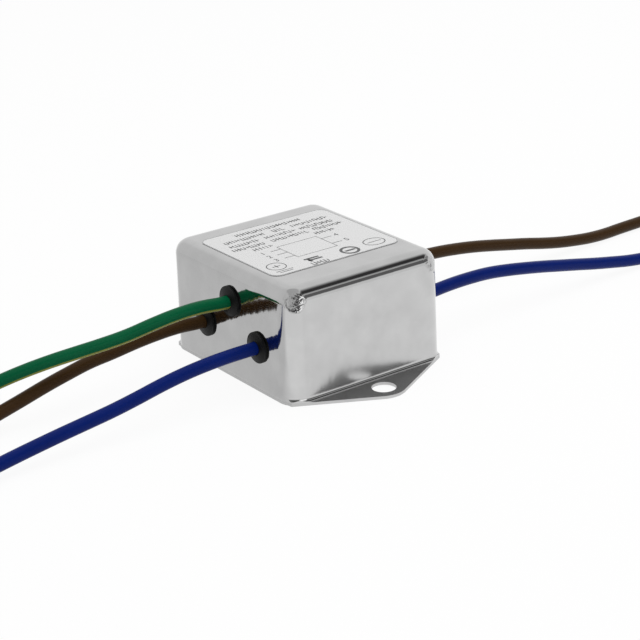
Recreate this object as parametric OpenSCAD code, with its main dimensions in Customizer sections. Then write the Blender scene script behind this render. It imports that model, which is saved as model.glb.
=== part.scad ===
// Single-stage mains line filter in a drawn steel can with flying leads.
// Millimetres. The origin is the centre of the can's mouth, on the mounting surface.
// +Z is up, +X is the load side, -X is the line side, and the two ears point to -Y and +Y.

/* [Can] */
// Length of the can at its mouth, from the line side to the load side
can_length = 37; // [36.8:0.1:37.4]
// Width of the can at its mouth, between the roots of the ears
can_width = 42; // [41.8:0.1:42.6]
// Height of the can
can_height = 23; // [22.6:0.1:23.4]
// Outer radius of the upright corners at the mouth
corner_r = 4; // [3.9:0.1:4.4]
// Outer radius of the drawn edge round the top
top_r = 3; // [2.6:0.1:3.2]
// Thickness of the can's steel sheet
sheet_t = 0.6; // [0.5:0.05:0.6]
// Lean of the drawn walls, in degrees
draft = 0.8; // [0.5:0.1:1.2]

/* [Ears] */
// How far each ear reaches out from the wall
ear_reach = 8; // [7.6:0.1:9]
// Radius of the ear's tip
ear_tip_r = 5.2; // [5:0.1:5.6]
// Distance of the screw hole from the wall
ear_hole_out = 4; // [3.8:0.1:4.2]
// Diameter of the screw hole
ear_hole_d = 4.8; // [4.2:0.1:5]
// Outer radius of the bend between wall and ear
root_r = 1; // [0.8:0.1:1.2]

/* [Grommets and leads] */
// Distance from the middle grommet to each lower one, across the can
grommet_pitch = 9; // [8.8:0.1:9.2]
// Height of the lower grommets
grommet_low_z = 9.2; // [9:0.1:9.4]
// Height of the upper grommet
grommet_high_z = 15.9; // [15.8:0.1:16]
// Shift of the grommet pattern off the can's centre line
grommet_shift = -1.2; // [-1.3:0.1:-1.1]
// Diameter of the grommet's head
grommet_d = 6.2; // [5.8:0.1:6.4]
// Diameter of the punched hole that a grommet sits in
grommet_hole_d = 5; // [4.6:0.1:5.2]
// Outer diameter of a lead's insulation
lead_d = 2.6; // [2.4:0.1:2.6]
// Diameter of the stranded conductor
wire_d = 1.1; // [0.9:0.1:1.2]
// Length of the tinned end of each lead
tip_length = 6; // [5:0.5:8]

/* [Label] */
// Length of the label along X
label_length = 30.2; // [28:0.1:30.4]
// Width of the label along Y
label_width = 26.5; // [24:0.1:26.6]
// Shift of the label's centre along Y
label_shift = 1.1; // [0.5:0.1:1.2]
// Thickness of the label
label_t = 0.1; // [0.08:0.01:0.15]

/* [Inside] */
// Height of the cover's turned-up rim, which the board rests on
rim_h = 3; // [2.8:0.1:3.2]
// Thickness of the circuit board
board_t = 1.6; // [1.4:0.1:1.6]
// Outer diameter of the choke's ring core
core_od = 19; // [18:0.1:19]
// Inner diameter of the choke's ring core
core_id = 10.5; // [10.4:0.1:10.8]
// Height of the choke's ring core
core_h = 8; // [7.5:0.1:8.2]
// Turns in each winding
turns = 8; // [6:1:9]
// Diameter of the winding wire
coil_wire_d = 1; // [0.8:0.1:1]

/* [Hidden] */
$fn = 64;
eps = 0.01;

steel = "gainsboro";
black = "#202020";
brown = "#3c2616";
blue = "#1c2c74";
green = "#0d6840";
tinned = "silver";
copper = "peru";

// ---- The can's form ----

// The walls stand upright up to the top of the ear bend, and lean in above it.
land_h = sheet_t + root_r;
half_l = can_length / 2;
half_w = can_width / 2;
corner_x = half_l - corner_r;
corner_y = half_w - corner_r;

// How far a wall has leaned in at height z
function lean(z) = max(0, z - land_h) * tan(draft);
// Outer and inner faces of the end walls at height z
function wall_x(z) = half_l - lean(z);
function inside_x(z) = wall_x(z) - sheet_t;

// Ear outline: a straight trim line, tangent to the tip circle, that passes each upright corner
// just outside its wall and leaves a narrow lip there, which a second cut ends.
tip_y = half_w + ear_reach - ear_tip_r;
merge_r = corner_r + 0.15;
lip_turn = 50;
lip_end = 68;
lip_depth = 0.15;
ear_dx = corner_x;
ear_dy = corner_y - tip_y;
ear_span = norm([ear_dx, ear_dy]);
ear_angle = atan2(ear_dy, ear_dx) + acos((ear_tip_r - merge_r) / ear_span);
ear_normal = [cos(ear_angle), sin(ear_angle)];
hole_y = half_w + ear_hole_out;
// The hollow under the ear's bend stops just short of the corners, whose mouth edge is square.
hollow_length = 2 * corner_x - 1;

label_corner_r = 2;

// ---- Grommets ----

grommet_head_t = 0.85;
grommet_rim_r = 0.2;
grommet_rim_u = grommet_d / 2 - grommet_rim_r;
// The head is a dome that rises from its rim to its middle.
dome_rise = grommet_head_t - 2 * grommet_rim_r;
dome_r = (grommet_rim_u ^ 2 + dome_rise ^ 2) / (2 * dome_rise);
grommet_neck_t = sheet_t + 0.1;
mouth_r = 1.55;
mouth_depth = 0.2;

// Every lead's grommet: end of the can (-1 line, +1 load), place across, height
EARTH_IN = [-1, grommet_shift, grommet_high_z];
NEUTRAL_IN = [-1, grommet_shift - grommet_pitch, grommet_low_z];
LIVE_IN = [-1, grommet_shift + grommet_pitch, grommet_low_z];
NEUTRAL_OUT = [1, grommet_shift - grommet_pitch, grommet_low_z];
LIVE_OUT = [1, grommet_shift + grommet_pitch, grommet_low_z];
EXITS = [EARTH_IN, NEUTRAL_IN, LIVE_IN, NEUTRAL_OUT, LIVE_OUT];

// ---- Inside ----

board_z = rim_h;
deck_z = board_z + board_t;
pin_end_z = board_z - 1.2;
inner_gap = 0.2;
paper_t = 0.3;
pin_gap = 0.1;
solder_h = 0.9;
solder_tip = 0.15;
solder_base = 0.7;
tail_x = 13.6;
tail_start_x = 15.2;
tail_bend_r = 1.2;

choke_y = 3;
core_z = deck_z + 1.6;
core_mid_z = core_z + core_h / 2;
core_mid_r = (core_od + core_id) / 4;
coil_gap = 0.15;
coil_r = coil_wire_d / 2;
loop_a = (core_od - core_id) / 4 + coil_r + coil_gap;
loop_b = core_h / 2 + coil_r + coil_gap;
coil_reach = 66;
core_edge_r = 1;
loop_r = core_edge_r + coil_gap + coil_r;
loop_points = 12;
foot_in = 0.1;
foot_bend_r = 0.8;

x_cap_y = -14.2;
x_cap_size = [18, 7, 13];
x_cap_pin = 7.5;
row_y = 16.7;
y_cap_x = 9;
y_cap_d = 8;
y_cap_t = 3.4;
y_cap_pin = 2.5;
y_cap_lift = 1.4;
resistor_d = 2.4;
resistor_l = 6.4;
resistor_pin = 4.4;
thin_pin_r = 0.3;
cap_pin_r = 0.4;
tail_r = wire_d / 2;
tab_width = 5;
tab_t = 0.5;
tab_pin = 1.4;
tab_foot = 2.2;
tab_top_z = 14;

// Where each winding's wire goes down through the board: side +1 live, -1 neutral
function coil_foot(side, end) =
    let (a = side * 90 - side * end * coil_reach, r = core_mid_r + loop_a - (end > 0 ? foot_in : 0))
    [r * cos(a), choke_y + r * sin(a)];

// Every round pin that goes through the board: x, y, radius
PINS = [
    for (e = EXITS) [e[0] * tail_x, e[1], tail_r],
    for (s = [-1, 1]) [s * x_cap_pin, x_cap_y, cap_pin_r],
    for (s = [-1, 1], p = [-1, 1]) [s * y_cap_x + p * y_cap_pin, row_y, thin_pin_r],
    for (s = [-1, 1]) [s * resistor_pin, row_y, thin_pin_r],
    for (s = [-1, 1], e = [-1, 1]) [each coil_foot(s, e), coil_r]
];
tab_x = inside_x(deck_z) - tab_foot;

// ---- Lead routes ----
// Each route starts behind its grommet, goes straight out, droops, and lies on the mounting surface.

lead_r = lead_d / 2;
ROUTE_EARTH = [
    [-15.2, -1.2, 15.9], [-20, -1.2, 15.9], [-25, -1.1, 16.3], [-30, -0.8, 16.1], [-35, -0.2, 15.3],
    [-40, 0.8, 14.1], [-45, 2, 13.2], [-50, 3.4, 12.4], [-55, 4.9, 11.5], [-60, 6.5, 10.3],
    [-65, 8.1, 8.8], [-70, 9.6, 7.2], [-75, 11, 5.6], [-80, 12.2, 4.1], [-85, 13.2, 2.9],
    [-90, 14, 2], [-95, 14.6, 1.5], [-100, 15, 1.4], [-105, 15.2, 1.4], [-110, 15.3, 1.4],
    [-115, 15.3, 1.4], [-119, 15.3, 1.4]
];
ROUTE_NEUTRAL_IN = [
    [-15.2, -10.2, 9.2], [-20, -10.2, 9.2], [-25, -10.1, 9.1], [-30, -10, 8.8], [-35, -10, 8.3],
    [-40, -10, 7.5], [-45, -10, 6.5], [-50, -10, 5.6], [-55, -10, 4.9], [-60, -10.1, 4.3],
    [-65, -10.3, 3.7], [-70, -10.6, 3.1], [-75, -11, 2.5], [-80, -11.5, 2], [-85, -12, 1.6],
    [-90, -12.4, 1.4], [-95, -12.7, 1.4], [-100, -12.9, 1.4], [-105, -13, 1.4], [-110, -13, 1.4],
    [-115, -13, 1.4], [-121, -13, 1.4]
];
ROUTE_LIVE_IN = [
    [-15.2, 7.8, 9.2], [-20, 7.8, 9.2], [-25, 7.8, 9.5], [-30, 7.7, 9.4], [-35, 7.6, 9],
    [-40, 7.5, 8.4], [-45, 7.4, 7.9], [-50, 7.2, 7], [-55, 6.9, 6], [-60, 6.5, 4.9],
    [-65, 6, 3.9], [-70, 5.4, 3], [-75, 4.8, 2.2], [-80, 4.2, 1.7], [-85, 3.7, 1.4],
    [-90, 3.3, 1.4], [-95, 3, 1.4], [-100, 2.8, 1.4], [-105, 2.7, 1.4], [-110, 2.7, 1.4],
    [-115, 2.7, 1.4], [-120, 2.7, 1.4]
];
ROUTE_NEUTRAL_OUT = [
    [15.2, -10.2, 9.2], [20, -10.2, 9.2], [25, -9.9, 9.5], [30, -9.5, 9.6], [35, -9.2, 9.5],
    [40, -9, 9.2], [45, -9, 8.6], [50, -9, 7.8], [55, -9, 6.9], [60, -9, 5.9],
    [65, -9, 4.9], [70, -9.1, 3.9], [75, -9.2, 3], [80, -9.4, 2.2], [85, -9.6, 1.7],
    [90, -9.8, 1.4], [95, -9.9, 1.4], [100, -10, 1.4], [105, -10, 1.4], [110, -10, 1.4],
    [115, -10, 1.4], [120, -10, 1.4]
];
ROUTE_LIVE_OUT = [
    [15.2, 7.8, 9.2], [20, 7.8, 9.2], [25, 7.8, 9.4], [30, 7.7, 9.5], [35, 7.6, 9.5],
    [40, 7.5, 9.3], [45, 7.5, 8.8], [50, 7.5, 8.1], [55, 7.5, 7.2], [60, 7.5, 6.2],
    [65, 7.5, 5.2], [70, 7.5, 4.1], [75, 7.6, 3.1], [80, 7.8, 2.3], [85, 8, 1.7],
    [90, 8.3, 1.4], [95, 8.6, 1.4], [100, 8.8, 1.4], [105, 9, 1.4], [110, 9, 1.4],
    [115, 9, 1.4], [120, 9, 1.4]
];

// ---- Sweep of a round tube along a list of points ----

function unit(v) = v / norm(v);
// Direction of travel at point i: the mean of the steps on either side of it
function heading(path, i) = unit(path[min(i + 1, len(path) - 1)] - path[max(i - 1, 0)]);
// A sideways direction square to the heading, near a given reference direction
function sideways(path, i, ref) = let (d = heading(path, i)) unit(ref - d * (ref * d));
function ring(centre, side, up, r, sides) =
    [for (k = [0:sides - 1]) let (a = 360 * (k + 0.5) / sides) centre + r * (cos(a) * side + sin(a) * up)];

// refs gives one reference direction for every point of the path
module tube(path, r, sides, refs) {
    n = len(path);
    points = [
        for (i = [0:n - 1])
            let (side = sideways(path, i, refs[i]))
            each ring(path[i], side, cross(heading(path, i), side), r, sides)
    ];
    walls = [
        for (i = [0:n - 2], k = [0:sides - 1])
            let (a = i * sides + k, b = i * sides + (k + 1) % sides)
            each [[a, b + sides, b], [a, a + sides, b + sides]]
    ];
    near_cap = [for (k = [0:sides - 1]) k];
    far_cap = [for (k = [sides - 1:-1:0]) (n - 1) * sides + k];
    polyhedron(points = points, faces = concat(walls, [near_cap, far_cap]));
}

// ---- Shared forms ----

// Section of one wall, outwards from the axis of the corner: upright land, leaning wall, round top edge
module wall_section(corner, height, round_r, foot = 0) {
    arc_z = height - round_r;
    arc_u = corner - lean(arc_z) - round_r / cos(draft);
    out = 2 * round_r;
    wall_point = [arc_u + round_r * cos(draft), arc_z + round_r * sin(draft)];
    polygon([
        [0, -foot], [corner, -foot], [corner, land_h], wall_point,
        [arc_u, arc_z], [arc_u, height], [0, height]
    ]);
    intersection() {
        translate([arc_u, arc_z]) circle(r = round_r);
        polygon([
            [arc_u, arc_z], [arc_u + out * cos(draft), arc_z + out * sin(draft)],
            [arc_u + out, arc_z + out], [arc_u, arc_z + out]
        ]);
    }
}

// The drawn form: the wall section run along the sides and turned round the four corners
module drawn_form(inset = 0, foot = 0) {
    corner = corner_r - inset;
    height = can_height - inset;
    round_r = top_r - inset;
    for (q = [0:3])
        translate([(q == 0 || q == 3 ? 1 : -1) * corner_x, (q < 2 ? 1 : -1) * corner_y])
            rotate(90 * q) rotate_extrude(angle = 90) wall_section(corner, height, round_r, foot);
    slab(corner_x, corner_y, corner, height, round_r, foot);
    rotate(90) slab(corner_y, corner_x, corner, height, round_r, foot);
}

// Both walls of one direction with the block between them
module slab(reach, run, corner, height, round_r, foot) {
    rotate([90, 0, 0]) linear_extrude(height = 2 * run, center = true) {
        for (s = [0, 1]) mirror([s, 0]) translate([reach, 0]) wall_section(corner, height, round_r, foot);
        translate([-reach, -foot]) square([2 * reach, height + foot]);
    }
}

// Rectangle with round corners, by its half sizes
module rounded_plan(half_x, half_y, r) {
    square([2 * half_x, 2 * (half_y - r)], center = true);
    square([2 * (half_x - r), 2 * half_y], center = true);
    for (x = [-1, 1], y = [-1, 1]) translate([x * (half_x - r), y * (half_y - r)]) circle(r = r);
}

// ---- Can ----

// Plan of one ear: a blunt triangle with a round tip, from the corner axes outwards
module ear_plan() {
    tip = [0, tip_y];
    lip_r = merge_r / cos(lip_turn - (90 - ear_angle));
    lip_point = [corner_x, corner_y] + lip_r * [sin(lip_turn), cos(lip_turn)];
    end_point = [corner_x, corner_y] + (corner_r - lip_depth) * [sin(lip_end), cos(lip_end)];
    tip_point = tip + ear_tip_r * ear_normal;
    root = [0, half_w];
    beyond = 2 * (tip_point - root);
    right = [[corner_x, corner_y], end_point, lip_point, tip_point];
    polygon(concat(right, [tip], [for (i = [len(right) - 1:-1:0]) [-right[i][0], right[i][1]]]));
    intersection() {
        translate(tip) circle(r = ear_tip_r);
        polygon([root, root + beyond, root + [-beyond[0], beyond[1]]]);
    }
}

// Section of the bend between wall and ear, outwards from the corner axis
module bend_section() {
    bend_u = corner_r + root_r;
    start = corner_r / 2;
    difference() {
        translate([start, 0]) square([bend_u - start, land_h]);
        translate([bend_u, land_h]) circle(r = root_r);
    }
    translate([start, 0]) square([bend_u + root_r / 2 - start, sheet_t]);
}

// Section of the hollow below the bend, where the sheet turns outwards
module mouth_section() {
    bend_u = corner_r + root_r;
    difference() {
        translate([corner_r - sheet_t, -1]) square([land_h, land_h + 1]);
        translate([bend_u, land_h]) circle(r = land_h);
    }
}

// Runs a section straight along one ear's root
module straight_root(length) {
    translate([0, corner_y, 0]) rotate([90, 0, 90])
        linear_extrude(height = length, center = true) children();
}

// Runs a section along one ear's root and round its two corners
module whole_root() {
    straight_root(2 * corner_x) children();
    translate([corner_x, corner_y, 0]) rotate_extrude(angle = 90) children();
    translate([-corner_x, corner_y, 0]) rotate(90) rotate_extrude(angle = 90) children();
}

module ear() {
    linear_extrude(height = sheet_t) ear_plan();
    intersection() {
        whole_root() bend_section();
        linear_extrude(height = 2 * land_h) {
            ear_plan();
            rounded_plan(half_l, half_w, corner_r);
        }
    }
}

module can() {
    color(steel) difference() {
        union() {
            drawn_form();
            for (s = [0, 1]) mirror([0, s]) ear();
        }
        drawn_form(inset = sheet_t, foot = 1);
        for (s = [0, 1]) mirror([0, s]) {
            straight_root(hollow_length) mouth_section();
            translate([0, hole_y, -1]) cylinder(d = ear_hole_d, h = sheet_t + 2);
        }
        for (e = EXITS)
            translate([e[0] * (wall_x(e[2]) - sheet_t / 2), e[1], e[2]])
                rotate([0, 90, 0]) cylinder(d = grommet_hole_d, h = 3, center = true);
    }
}

// ---- Label ----

module label() {
    color("whitesmoke") translate([0, label_shift, can_height]) linear_extrude(height = label_t)
        rounded_plan(label_length / 2, label_width / 2, label_corner_r);
}

// ---- Bottom cover: a shallow pan pressed into the can's mouth ----

module bottom_cover() {
    color(steel) difference() {
        intersection() {
            drawn_form(inset = sheet_t);
            translate([0, 0, rim_h / 2]) cube([can_length, can_width, rim_h], center = true);
        }
        translate([0, 0, sheet_t]) linear_extrude(height = rim_h)
            rounded_plan(half_l - 2 * sheet_t, half_w - 2 * sheet_t, corner_r - 2 * sheet_t);
    }
}

module insulating_sheet() {
    gap = 2 * sheet_t + inner_gap;
    color("lightgray") translate([0, 0, sheet_t]) linear_extrude(height = paper_t)
        rounded_plan(half_l - gap, half_w - gap, corner_r - gap);
}

// ---- Circuit board ----

module circuit_board() {
    gap = sheet_t + inner_gap;
    color("tan") translate([0, 0, board_z]) difference() {
        linear_extrude(height = board_t) rounded_plan(half_l - gap, half_w - gap, corner_r - gap);
        for (p = PINS) translate([p[0], p[1], -1]) cylinder(r = p[2] + pin_gap, h = board_t + 2, $fn = 24);
        translate([tab_x, grommet_shift, 0])
            cube([tab_t + 2 * pin_gap, tab_pin + 2 * pin_gap, 4 * board_t], center = true);
    }
}

// Solder cones round the pins on the underside of the board
module solder_joints() {
    color(tinned) for (p = PINS) translate([p[0], p[1], board_z - solder_h]) difference() {
        cylinder(r1 = p[2] + solder_tip, r2 = p[2] + solder_base, h = solder_h, $fn = 32);
        translate([0, 0, -1]) cylinder(r = p[2], h = solder_h + 2, $fn = 32);
    }
}

// ---- Common-mode choke ----

module choke_core() {
    wide = (core_od - core_id) / 2;
    color("#3a5a3a") translate([0, choke_y, core_z]) rotate_extrude()
        translate([core_mid_r, core_h / 2]) rounded_plan(wide / 2, core_h / 2, core_edge_r);
}

// The wall that keeps the two windings apart, standing on the board in the ring's hole
module choke_divider() {
    wall = 1;
    color("ivory") translate([0, choke_y, deck_z]) intersection() {
        cylinder(d = core_id, h = core_z - deck_z + core_h - 1);
        cube([core_id, wall, 4 * core_h], center = true);
    }
}

// One turn round the core's section, three points to each corner, from the outside: radius and height
function loop_at(k) =
    let (
        corner = floor(k / 3) % 4,
        a = 90 * corner + 45 * (k % 3),
        u = (corner == 0 || corner == 3 ? 1 : -1) * (loop_a - loop_r),
        v = (corner < 2 ? 1 : -1) * (loop_b - loop_r)
    )
    [core_mid_r + u + loop_r * cos(a), core_mid_z + v + loop_r * sin(a)];
function on_ring(turn_angle, r, z) = [r * cos(turn_angle), choke_y + r * sin(turn_angle), z];

// Wire of one winding: up from the board, round the core, and down again. side is +1 or -1.
// The last turn ends under the core, so its wire bends down there by a quarter turn.
module winding(side) {
    steps = turns * loop_points - loop_points / 4;
    outer = core_mid_r + loop_a;
    start = side * (90 + coil_reach);
    sweep = -side * 2 * coil_reach;
    last = start + sweep;
    foot_r = outer - foot_in;
    bend_z = core_mid_z - loop_b - foot_bend_r;
    path = [
        on_ring(start, outer, pin_end_z),
        on_ring(start, outer, deck_z),
        for (k = [0:steps])
            let (p = loop_at(k)) on_ring(start + sweep * k / steps, p[0], p[1]),
        for (a = [85, 45, 0])
            on_ring(last, foot_r - foot_bend_r * (1 - cos(a)), bend_z + foot_bend_r * sin(a)),
        on_ring(last, foot_r, pin_end_z)
    ];
    refs = [for (i = [0:len(path) - 1])
        let (a = start + sweep * max(0, min(steps, i - 2)) / steps) [-sin(a), cos(a), 0]];
    color(copper) tube(path, coil_r, 8, refs);
}

module choke_winding_live() { winding(1); }
module choke_winding_neutral() { winding(-1); }

// ---- Capacitors and resistor ----

module x_capacitor() {
    color("gold") {
        translate([0, x_cap_y, deck_z]) linear_extrude(height = x_cap_size[2])
            rounded_plan(x_cap_size[0] / 2, x_cap_size[1] / 2, 0.6);
        for (s = [-1, 1]) translate([s * x_cap_pin, x_cap_y, pin_end_z])
            cylinder(r = cap_pin_r, h = deck_z - pin_end_z + 1, $fn = 32);
    }
}

// Ceramic disc that stands on its two legs. side is the end of the can it stands at.
module y_capacitor(side) {
    axis_z = deck_z + y_cap_lift + y_cap_d / 2;
    edge = y_cap_t / 2 - 0.4;
    color("royalblue") translate([side * y_cap_x, row_y, 0]) {
        translate([0, 0, axis_z]) rotate([90, 0, 0]) rotate_extrude()
            difference() {
                translate([-y_cap_d / 2, 0]) rounded_plan(y_cap_d, y_cap_t / 2, edge);
                translate([-3 * y_cap_d, -y_cap_t]) square([3 * y_cap_d, 2 * y_cap_t]);
            }
        for (p = [-1, 1]) translate([p * y_cap_pin, 0, pin_end_z])
            cylinder(r = thin_pin_r, h = axis_z - pin_end_z - 1, $fn = 32);
    }
}

module y_capacitor_live() { y_capacitor(1); }
module y_capacitor_neutral() { y_capacitor(-1); }

module bleed_resistor() {
    axis_z = deck_z + resistor_d / 2;
    bend = 0.6;
    cap_l = 1.4;
    color("burlywood") translate([0, row_y, axis_z]) {
        rotate([0, 90, 0]) {
            cylinder(d = resistor_d - 0.3, h = resistor_l - 1, center = true);
            for (s = [-1, 1]) translate([0, 0, s * (resistor_l - cap_l) / 2])
                cylinder(d = resistor_d, h = cap_l, center = true);
            cylinder(r = thin_pin_r, h = 2 * (resistor_pin - bend), center = true, $fn = 32);
        }
        for (s = [0, 1]) mirror([s, 0]) {
            translate([resistor_pin - bend, 0, -bend]) rotate([90, 0, 0])
                rotate_extrude(angle = 90) translate([bend, 0]) circle(r = thin_pin_r);
            translate([resistor_pin, 0, pin_end_z - axis_z])
                cylinder(r = thin_pin_r, h = axis_z - pin_end_z - bend, $fn = 32);
        }
    }
}

// Earth strap: lies flat against the load-side wall, with a foot along the board and one pin through it
module earth_tab() {
    color(tinned) {
        translate([0, grommet_shift + tab_width / 2, 0]) rotate([90, 0, 0])
            linear_extrude(height = tab_width) polygon([
                [tab_x - tab_t / 2, deck_z], [inside_x(deck_z), deck_z],
                [inside_x(tab_top_z), tab_top_z], [inside_x(tab_top_z) - tab_t, tab_top_z],
                [inside_x(deck_z) - tab_t, deck_z + tab_t], [tab_x - tab_t / 2, deck_z + tab_t]
            ]);
        translate([tab_x - tab_t / 2, grommet_shift - tab_pin / 2, pin_end_z])
            cube([tab_t, tab_pin, deck_z - pin_end_z + tab_t / 2]);
    }
}

// ---- Grommets ----

// Turned section of a grommet: two heads, the neck that fills the hole, and a bore with a flared mouth
module grommet(exit) {
    neck_out = wall_x(exit[2]) + (grommet_neck_t - sheet_t) / 2;
    neck_in = neck_out - grommet_neck_t;
    color(black) translate([0, exit[1], exit[2]]) rotate([0, exit[0] * 90, 0]) difference() {
        union() {
            translate([0, 0, neck_out]) rotate_extrude() grommet_head();
            translate([0, 0, neck_in - eps]) cylinder(d = grommet_hole_d, h = grommet_neck_t + 2 * eps);
            translate([0, 0, neck_in]) mirror([0, 0, 1]) rotate_extrude() grommet_head();
        }
        translate([0, 0, neck_in - 2]) cylinder(r = lead_r, h = 5);
        translate([0, 0, neck_out + grommet_head_t - mouth_depth])
            cylinder(r1 = lead_r, r2 = mouth_r, h = mouth_depth + eps);
    }
}

// Half section of a head: flat against the sheet, domed outside, with a round edge
module grommet_head() {
    intersection() {
        square([grommet_rim_u, grommet_head_t]);
        translate([0, grommet_head_t - dome_r]) circle(r = dome_r);
    }
    translate([grommet_rim_u - eps, 0]) square([grommet_rim_r, 2 * grommet_rim_r]);
    translate([grommet_rim_u, grommet_rim_r]) circle(r = grommet_rim_r);
}

// ---- Leads ----

module lead(route, tint) {
    color(tint) tube(route, lead_r, 8, [for (p = route) [0, 1, 0]]);
}

// Tinned strands that carry straight on from the lead's outer end
module tip(route) {
    end = route[len(route) - 1];
    color(tinned) translate(end) rotate([0, 90 * sign(end[0]), 0])
        cylinder(d = wire_d, h = tip_length, $fn = 32);
}

// Bared strands from the lead's inner end down into the board
module tail(exit) {
    run = tail_start_x - tail_x - tail_bend_r;
    color(tinned) translate([0, exit[1], exit[2]]) mirror([exit[0] < 0 ? 1 : 0, 0]) {
        translate([tail_start_x - run, 0, 0]) rotate([0, 90, 0]) cylinder(d = wire_d, h = run, $fn = 32);
        translate([tail_x + tail_bend_r, 0, -tail_bend_r]) rotate([90, 0, 0]) rotate(90)
            rotate_extrude(angle = 90) translate([tail_bend_r, 0]) circle(d = wire_d);
        translate([tail_x, 0, pin_end_z - exit[2]])
            cylinder(d = wire_d, h = exit[2] - tail_bend_r - pin_end_z, $fn = 32);
    }
}

can();
label();
bottom_cover();
insulating_sheet();
circuit_board();
solder_joints();
choke_core();
choke_divider();
choke_winding_live();
choke_winding_neutral();
x_capacitor();
y_capacitor_live();
y_capacitor_neutral();
bleed_resistor();
earth_tab();
grommet(EARTH_IN);  // grommet_earth_in
grommet(NEUTRAL_IN);  // grommet_neutral_in
grommet(LIVE_IN);  // grommet_live_in
grommet(NEUTRAL_OUT);  // grommet_neutral_out
grommet(LIVE_OUT);  // grommet_live_out
lead(ROUTE_EARTH, green);  // lead_earth
lead(ROUTE_NEUTRAL_IN, blue);  // lead_neutral_in
lead(ROUTE_LIVE_IN, brown);  // lead_live_in
lead(ROUTE_NEUTRAL_OUT, blue);  // lead_neutral_out
lead(ROUTE_LIVE_OUT, brown);  // lead_live_out
tip(ROUTE_EARTH);  // tip_earth
tip(ROUTE_NEUTRAL_IN);  // tip_neutral_in
tip(ROUTE_LIVE_IN);  // tip_live_in
tip(ROUTE_NEUTRAL_OUT);  // tip_neutral_out
tip(ROUTE_LIVE_OUT);  // tip_live_out
tail(EARTH_IN);  // tail_earth
tail(NEUTRAL_IN);  // tail_neutral_in
tail(LIVE_IN);  // tail_live_in
tail(NEUTRAL_OUT);  // tail_neutral_out
tail(LIVE_OUT);  // tail_live_out
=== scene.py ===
# %% [markdown]
# # A small mains line filter
#
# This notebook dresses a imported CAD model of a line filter: a drawn steel can with five
# flying leads. The CAD part gives every size and place, and this script only adds finishes,
# smooth leads, stranded wire ends, print on the label, a floor and light. It is written as
# small steps, each with a note that says what the real piece is and why it is made this way.

import math

import bpy
from mathutils import Matrix, Vector


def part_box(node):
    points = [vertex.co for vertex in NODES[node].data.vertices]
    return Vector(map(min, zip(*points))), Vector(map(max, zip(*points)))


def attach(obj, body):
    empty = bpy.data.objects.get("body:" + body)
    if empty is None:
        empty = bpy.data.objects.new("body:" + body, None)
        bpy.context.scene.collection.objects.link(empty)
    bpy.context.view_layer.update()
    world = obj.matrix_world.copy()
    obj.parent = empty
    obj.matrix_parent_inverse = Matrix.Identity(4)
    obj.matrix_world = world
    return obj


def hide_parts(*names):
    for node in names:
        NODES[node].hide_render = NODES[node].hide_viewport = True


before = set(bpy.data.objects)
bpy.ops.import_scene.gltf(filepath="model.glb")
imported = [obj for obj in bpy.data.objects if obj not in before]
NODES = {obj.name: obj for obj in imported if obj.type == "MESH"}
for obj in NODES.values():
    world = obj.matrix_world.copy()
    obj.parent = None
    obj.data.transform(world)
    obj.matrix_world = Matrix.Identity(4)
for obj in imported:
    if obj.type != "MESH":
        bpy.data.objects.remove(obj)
MM = 0.001
bpy.context.view_layer.update()

# %% [markdown]
# ## Camera
#
# A small product is shown from far back with a long lens, so that its edges stay nearly
# parallel. The camera is given the way a tripod is: where it looks, from which side, from how
# high, from how far, and how much it leans. The matrix is put together from those numbers.

# %% Camera
CAMERA_AZIMUTH = -35.24  # degrees, seen from the near line-side corner
CAMERA_ELEVATION = 22.03
CAMERA_ROLL = -2.24
CAMERA_DISTANCE = 377.8 * MM
CAMERA_TARGET = Vector((3.81, 0.59, 5.52)) * MM
CAMERA_LENS = 105.95  # millimetres
CAMERA_SENSOR = 36  # millimetres wide
CAMERA_NEAREST = 0.01  # metres; the camera draws nothing closer than this


def new_object(name, data):
    """An object in the scene that holds a mesh, a curve, a camera or a lamp."""
    item = bpy.data.objects.new(name, data)
    bpy.context.scene.collection.objects.link(item)
    return item


def camera_matrix(azimuth, elevation, roll, distance, target):
    """Where the camera stands and how it is turned, from the angles of its tripod."""
    a, e, r = (math.radians(v) for v in (azimuth, elevation, roll))
    back = Vector((math.sin(a) * math.cos(e), -math.cos(a) * math.cos(e), math.sin(e)))
    right = Vector((math.cos(a), math.sin(a), 0))
    up = back.cross(right)
    right, up = (
        math.cos(r) * right + math.sin(r) * up,
        math.cos(r) * up - math.sin(r) * right,
    )
    turn = Matrix((right, up, back)).transposed().to_4x4()
    return Matrix.Translation(target + back * distance) @ turn


camera = new_object("camera", bpy.data.cameras.new("camera"))
camera.data.sensor_width = CAMERA_SENSOR
camera.data.lens = CAMERA_LENS
camera.data.clip_start = CAMERA_NEAREST
camera.matrix_world = camera_matrix(
    CAMERA_AZIMUTH, CAMERA_ELEVATION, CAMERA_ROLL, CAMERA_DISTANCE, CAMERA_TARGET
)
bpy.context.scene.camera = camera
print("camera stands at, in mm:", [round(v / MM) for v in camera.matrix_world.translation])
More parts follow.
